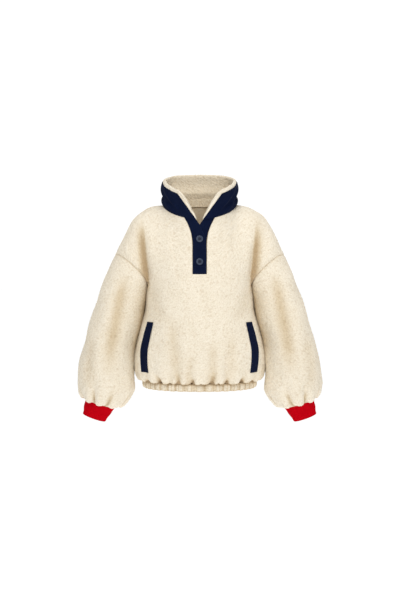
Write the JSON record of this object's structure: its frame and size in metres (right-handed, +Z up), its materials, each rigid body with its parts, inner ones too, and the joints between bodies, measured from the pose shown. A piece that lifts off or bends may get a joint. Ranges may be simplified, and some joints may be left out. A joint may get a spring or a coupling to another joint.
{
  "type": "half-button sherpa sweatshirt",
  "caption": "Sherpa sweatshirt with a stand collar, buttoned half placket, dropped balloon sleeves, rib cuffs, pocket welts and a gathered elastic hem, filled out as worn and open inside.",
  "frame": {"origin": "midway between the two high shoulder points, at the base of the neck, where the wearer's shoulders hold the garment", "axes": "+Z up, the front towards -Y, the wearer's left towards +X"},
  "size_m": [0.734, 0.2966, 0.7439],
  "materials": {
    "sherpa": "matte cream sherpa fleece with a curled pile",
    "navy_woven": "matte navy woven cotton",
    "red_rib": "matte red rib knit",
    "button": "satin navy plastic"
  },
  "bodies": {
    "root": {"front": "sherpa", "back": "sherpa", "sleeve_left": "sherpa", "sleeve_right": "sherpa", "hem_casing": "sherpa", "collar_lining": "sherpa", "collar_shell": "navy_woven", "placket_over": "navy_woven", "placket_under": "navy_woven", "welt_left": "navy_woven", "welt_right": "navy_woven", "cuff_left": "red_rib", "cuff_right": "red_rib", "button_top": "button", "button_bottom": "button"}
  },
  "joints": []
}
